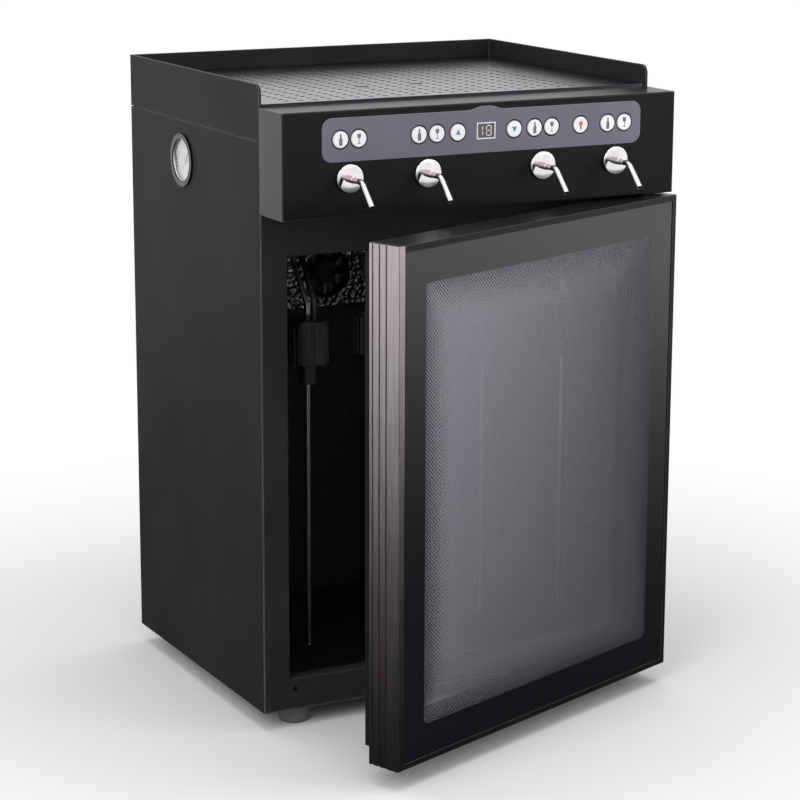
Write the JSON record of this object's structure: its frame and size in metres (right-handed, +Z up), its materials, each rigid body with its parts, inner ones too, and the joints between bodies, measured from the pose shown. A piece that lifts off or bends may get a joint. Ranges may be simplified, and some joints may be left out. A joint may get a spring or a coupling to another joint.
{
  "type": "wine preservation dispenser",
  "caption": "Chilled countertop wine cabinet with an ajar glass door, taps and keypad on a console above it, gas-fed bottle stoppers inside and a railed drip tray on top.",
  "frame": {"origin": "middle of the cabinet's plan, on the surface that the feet stand on", "axes": "+Z up, -Y the front with the door and taps, +X to the right seen from the front"},
  "size_m": [0.4595, 0.5648, 0.67],
  "materials": {
    "cabinet_paint": "fine-texture dark grey powder coat",
    "back_steel": "satin grey powder coat",
    "frame_plastic": "black moulded, fine spark texture",
    "console_plastic": "dark warm grey, satin",
    "overlay_film": "grey gloss film",
    "button_caps": "white, gloss",
    "display_block": "black lens",
    "board": "green solder mask",
    "tap_chrome": "polished",
    "dip_steel": "drawn tube",
    "stopper_plastic": "black moulded, ribbed",
    "clear_hose": "milky clear hose",
    "black_hose": "black hose",
    "liner_plastic": "dark grey vacuum-formed sheet",
    "foam": "rigid polyurethane foam",
    "cover_aluminium": "stucco embossed",
    "fan_plastic": "black glass-filled",
    "sink_aluminium": "extruded, bare",
    "ceramic": "white ceramic plates",
    "lamp_cover": "opal cover",
    "gauge_chrome": "polished bezel",
    "gauge_steel": "black case",
    "dial_white": "white enamel",
    "needle_black": "black enamel",
    "clear_lens": "clear",
    "brass_fitting": "turned",
    "valve_coil": "black encapsulated coil",
    "supply_case": "folded sheet",
    "inlet_plastic": "black",
    "door_plastic": "black gloss",
    "handle_aluminium": "dark anodised, fluted",
    "tinted_glass": "dark, printed border",
    "inner_pane": "clear",
    "spacer_steel": "dark anodised spacer",
    "gasket_rubber": "black magnetic gasket",
    "hinge_steel": "zinc plated",
    "nylon": "natural nylon",
    "tray_steel": "perforated, satin grey",
    "zinc_screws": "zinc plated",
    "foot_rubber": "black moulded"
  },
  "bodies": {
    "cabinet": {"base_plate": "back_steel", "left_side_panel": "cabinet_paint", "right_side_panel": "cabinet_paint", "rear_panel": "back_steel", "front_frame": "frame_plastic", "hood": "cabinet_paint", "feet": "foot_rubber", "inner_liner": "liner_plastic", "insulation_foam": "foam", "fan_cover": "cover_aluminium", "inner_fan_frames": "fan_plastic", "rear_fan_frame": "fan_plastic", "cold_sink": "sink_aluminium", "thermoelectric_modules": "ceramic", "hot_sink": "sink_aluminium", "interior_lamp": "lamp_cover", "bottle_stoppers": "stopper_plastic", "dip_tubes": "dip_steel", "wine_hoses": "clear_hose", "gas_hoses": "black_hose", "gauge_case": "gauge_steel", "gauge_bezel": "gauge_chrome", "gauge_dial": "dial_white", "gauge_glass": "clear_lens", "gas_manifold": "sink_aluminium", "solenoid_valves": "valve_coil", "gas_inlet": "brass_fitting", "power_supply": "supply_case", "mains_inlet": "inlet_plastic", "console_housing": "console_plastic", "keypad_overlay": "overlay_film", "display_module": "display_block", "control_board": "board", "tap_escutcheons": "tap_chrome", "tap_spouts": "tap_chrome", "hinge_brackets": "hinge_steel", "fasteners": "zinc_screws"},
    "door": {"door_frame": "door_plastic", "door_handle": "handle_aluminium", "door_outer_glass": "tinted_glass", "door_inner_glass": "inner_pane", "glass_spacer_bar": "spacer_steel", "door_gasket": "gasket_rubber", "hinge_bushes": "nylon"},
    "drip_tray_body": {"drip_tray": "tray_steel"},
    "gauge_pointer": {"gauge_needle": "needle_black"},
    "left_inner_fan": {"left_inner_fan_rotor": "fan_plastic"},
    "right_inner_fan": {"right_inner_fan_rotor": "fan_plastic"},
    "rear_fan": {"rear_fan_rotor": "fan_plastic"},
    "bottle_button_1_key": {"bottle_button_1": "button_caps"},
    "glass_button_1_key": {"glass_button_1": "button_caps"},
    "bottle_button_2_key": {"bottle_button_2": "button_caps"},
    "glass_button_2_key": {"glass_button_2": "button_caps"},
    "warmer_button_key": {"warmer_button": "button_caps"},
    "cooler_button_key": {"cooler_button": "button_caps"},
    "bottle_button_3_key": {"bottle_button_3": "button_caps"},
    "glass_button_3_key": {"glass_button_3": "button_caps"},
    "lamp_button_key": {"lamp_button": "button_caps"},
    "bottle_button_4_key": {"bottle_button_4": "button_caps"},
    "glass_button_4_key": {"glass_button_4": "button_caps"}
  },
  "joints": [
    {"name": "door_hinge", "type": "hinge", "parent": "cabinet", "child": "door", "pos_m": [0.218, -0.202, 0.28], "axis": [0, 0, 1], "range_deg": [-21.4, 68]},
    {"name": "drip_tray_lift", "type": "slide", "parent": "cabinet", "child": "drip_tray_body", "axis": [0, 0, 1], "range_m": [0, 0.04]},
    {"name": "gauge_pointer_turn", "type": "hinge", "parent": "cabinet", "child": "gauge_pointer", "pos_m": [-0.219, 0.027, 0.572], "axis": [1, 0, 0], "range_deg": [-170, 100], "stiffness_Nm_per_rad": 0.0005},
    {"name": "left_inner_fan_spin", "type": "hinge", "parent": "cabinet", "child": "left_inner_fan", "pos_m": [-0.036, 0.0775, 0.43], "axis": [0, 1, 0], "continuous": true},
    {"name": "right_inner_fan_spin", "type": "hinge", "parent": "cabinet", "child": "right_inner_fan", "pos_m": [0.036, 0.0775, 0.43], "axis": [0, 1, 0], "continuous": true},
    {"name": "rear_fan_spin", "type": "hinge", "parent": "cabinet", "child": "rear_fan", "pos_m": [0, 0.155, 0.43], "axis": [0, 1, 0], "continuous": true},
    {"name": "bottle_button_1_press", "type": "slide", "parent": "cabinet", "child": "bottle_button_1_key", "axis": [0, 1, 0], "range_m": [0, 0.0008], "stiffness_N_per_m": 600, "springref_m": -0.0008},
    {"name": "glass_button_1_press", "type": "slide", "parent": "cabinet", "child": "glass_button_1_key", "axis": [0, 1, 0], "range_m": [0, 0.0008], "stiffness_N_per_m": 600, "springref_m": -0.0008},
    {"name": "bottle_button_2_press", "type": "slide", "parent": "cabinet", "child": "bottle_button_2_key", "axis": [0, 1, 0], "range_m": [0, 0.0008], "stiffness_N_per_m": 600, "springref_m": -0.0008},
    {"name": "glass_button_2_press", "type": "slide", "parent": "cabinet", "child": "glass_button_2_key", "axis": [0, 1, 0], "range_m": [0, 0.0008], "stiffness_N_per_m": 600, "springref_m": -0.0008},
    {"name": "warmer_button_press", "type": "slide", "parent": "cabinet", "child": "warmer_button_key", "axis": [0, 1, 0], "range_m": [0, 0.0008], "stiffness_N_per_m": 600, "springref_m": -0.0008},
    {"name": "cooler_button_press", "type": "slide", "parent": "cabinet", "child": "cooler_button_key", "axis": [0, 1, 0], "range_m": [0, 0.0008], "stiffness_N_per_m": 600, "springref_m": -0.0008},
    {"name": "bottle_button_3_press", "type": "slide", "parent": "cabinet", "child": "bottle_button_3_key", "axis": [0, 1, 0], "range_m": [0, 0.0008], "stiffness_N_per_m": 600, "springref_m": -0.0008},
    {"name": "glass_button_3_press", "type": "slide", "parent": "cabinet", "child": "glass_button_3_key", "axis": [0, 1, 0], "range_m": [0, 0.0008], "stiffness_N_per_m": 600, "springref_m": -0.0008},
    {"name": "lamp_button_press", "type": "slide", "parent": "cabinet", "child": "lamp_button_key", "axis": [0, 1, 0], "range_m": [0, 0.0008], "stiffness_N_per_m": 600, "springref_m": -0.0008},
    {"name": "bottle_button_4_press", "type": "slide", "parent": "cabinet", "child": "bottle_button_4_key", "axis": [0, 1, 0], "range_m": [0, 0.0008], "stiffness_N_per_m": 600, "springref_m": -0.0008},
    {"name": "glass_button_4_press", "type": "slide", "parent": "cabinet", "child": "glass_button_4_key", "axis": [0, 1, 0], "range_m": [0, 0.0008], "stiffness_N_per_m": 600, "springref_m": -0.0008}
  ]
}
